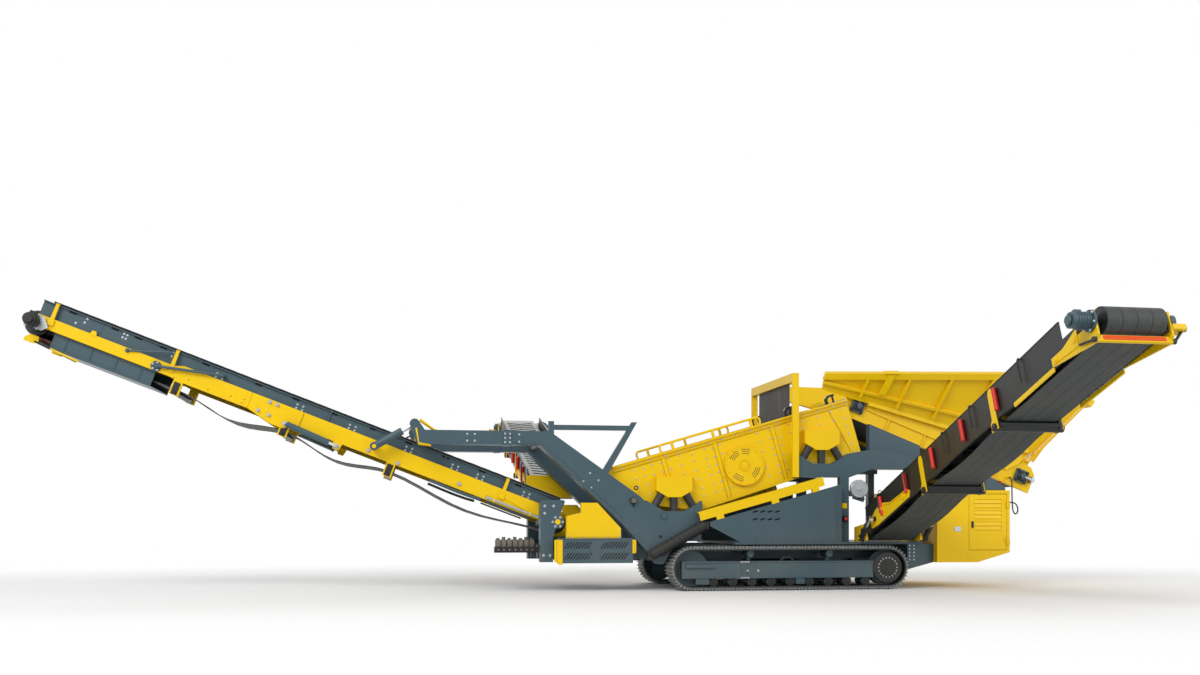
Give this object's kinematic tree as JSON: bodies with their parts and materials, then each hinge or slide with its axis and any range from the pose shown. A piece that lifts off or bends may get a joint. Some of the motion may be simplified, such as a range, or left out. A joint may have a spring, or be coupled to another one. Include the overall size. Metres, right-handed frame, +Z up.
{
  "type": "tracked vibrating screen",
  "caption": "Track-mounted screening machine: sloping screen box on rubber buffers, feed hopper with belt feeder, long front discharge conveyor and side discharge conveyors.",
  "frame": {"origin": "middle of the bounding box at ground level", "axes": "+X along the machine towards the feed hopper, +Y to the far side, +Z up"},
  "size_m": [17.8959, 16.4591, 4.67],
  "materials": {
    "yellow_paint": "semi-gloss machine paint",
    "grey_paint": "semi-gloss machine paint",
    "black_paint": "satin machine paint",
    "red_paint": "semi-gloss machine paint",
    "belt_rubber": "matt belt rubber",
    "buffer_rubber": "matt rubber",
    "track_steel": "worn black track steel",
    "deck_steel": "worn screen steel",
    "rod_chrome": "polished rod"
  },
  "bodies": {
    "machine": {"tracks": "track_steel", "track_frames": "grey_paint", "chassis": "grey_paint", "cross_ties": "grey_paint", "deck_plate": "grey_paint", "tail_plates": "grey_paint", "side_panels": "grey_paint", "guard_beams": "yellow_paint", "girders": "grey_paint", "gantry_tie": "grey_paint", "slot_boxes": "grey_paint", "hoods": "yellow_paint", "front_posts": "grey_paint", "screen_sides": "yellow_paint", "top_deck": "deck_steel", "low_deck": "deck_steel", "screen_back": "yellow_paint", "exciter": "yellow_paint", "buffers": "buffer_rubber", "rear_supports": "grey_paint", "portal": "yellow_paint", "curtain": "belt_rubber", "handrails": "yellow_paint", "arm_brace": "grey_paint", "feeder_sides": "yellow_paint", "feeder_belt": "belt_rubber", "feeder_drums": "grey_paint", "hopper_wings": "yellow_paint", "hopper_skirts": "yellow_paint", "rear_wall": "yellow_paint", "cabinet": "yellow_paint", "rear_hose": "buffer_rubber", "near_base": "yellow_paint", "far_base": "yellow_paint"},
    "front_conveyor": {"front_beams": "yellow_paint", "front_skirts": "grey_paint", "front_belt": "belt_rubber", "front_drums": "black_paint", "front_guard": "grey_paint", "front_motor": "black_paint"},
    "lift_barrel": {"lift_barrels": "grey_paint"},
    "lift_rod": {"lift_rods": "rod_chrome"},
    "near_conveyor": {"near_frame": "black_paint", "near_belt": "belt_rubber", "near_drums": "black_paint", "near_struts": "red_paint", "near_head": "yellow_paint", "near_motor": "grey_paint"},
    "near_barrel": {"near_barrels": "black_paint"},
    "near_rod": {"near_rods": "rod_chrome"},
    "far_conveyor": {"far_frame": "black_paint", "far_belt": "belt_rubber", "far_drums": "black_paint", "far_struts": "red_paint", "far_head": "yellow_paint", "far_motor": "grey_paint"},
    "far_barrel": {"far_barrels": "black_paint"},
    "far_rod": {"far_rods": "rod_chrome"},
    "door": {"cabinet_door": "yellow_paint"}
  },
  "joints": [
    {"name": "front_lift", "type": "hinge", "parent": "machine", "child": "front_conveyor", "pos_m": [-0.48375, 0, 1.157], "axis": [0, 1, 0], "range_deg": [-4, 0]},
    {"name": "lift_barrel_swing", "type": "hinge", "parent": "front_conveyor", "child": "lift_barrel", "pos_m": [-3.49022, 0, 2.38855], "axis": [0, 1, 0], "range_deg": [-6, 1]},
    {"name": "lift_rod_slide", "type": "slide", "parent": "lift_barrel", "child": "lift_rod", "axis": [0.8687, 0, 0.4953], "range_m": [-0.01, 0.2]},
    {"name": "near_lift", "type": "hinge", "parent": "machine", "child": "near_conveyor", "pos_m": [5.28625, -1.29, 1.015], "axis": [-1, 0, 0], "range_deg": [-4, 4]},
    {"name": "near_barrel_swing", "type": "hinge", "parent": "machine", "child": "near_barrel", "pos_m": [5.28625, -1.42, 0.88], "axis": [-1, 0, 0], "range_deg": [-5, 5]},
    {"name": "near_rod_slide", "type": "slide", "parent": "near_barrel", "child": "near_rod", "axis": [0, -0.7717, 0.636], "range_m": [-0.016, 0.016]},
    {"name": "far_lift", "type": "hinge", "parent": "machine", "child": "far_conveyor", "pos_m": [-0.25375, 1.42, 1.76], "axis": [1, 0, 0], "range_deg": [-4, 4]},
    {"name": "far_barrel_swing", "type": "hinge", "parent": "machine", "child": "far_barrel", "pos_m": [-0.25375, 1.55, 1.625], "axis": [1, 0, 0], "range_deg": [-5, 5]},
    {"name": "far_rod_slide", "type": "slide", "parent": "far_barrel", "child": "far_rod", "axis": [0, 0.8337, 0.5522], "range_m": [-0.016, 0.016]},
    {"name": "door_swing", "type": "hinge", "parent": "machine", "child": "door", "pos_m": [7.40725, -1.4185, 1.155], "axis": [0, 0, 1], "range_deg": [0, 110]}
  ],
  "couplings": [
    {"joint": "lift_barrel_swing", "follows": "front_lift", "ratio": 1.2438},
    {"joint": "lift_rod_slide", "follows": "front_lift", "m_per_rad": -2.6511},
    {"joint": "near_barrel_swing", "follows": "near_lift", "ratio": 1.0285},
    {"joint": "near_rod_slide", "follows": "near_lift", "m_per_rad": 0.1867},
    {"joint": "far_barrel_swing", "follows": "far_lift", "ratio": 1.0686},
    {"joint": "far_rod_slide", "follows": "far_lift", "m_per_rad": 0.1842}
  ]
}
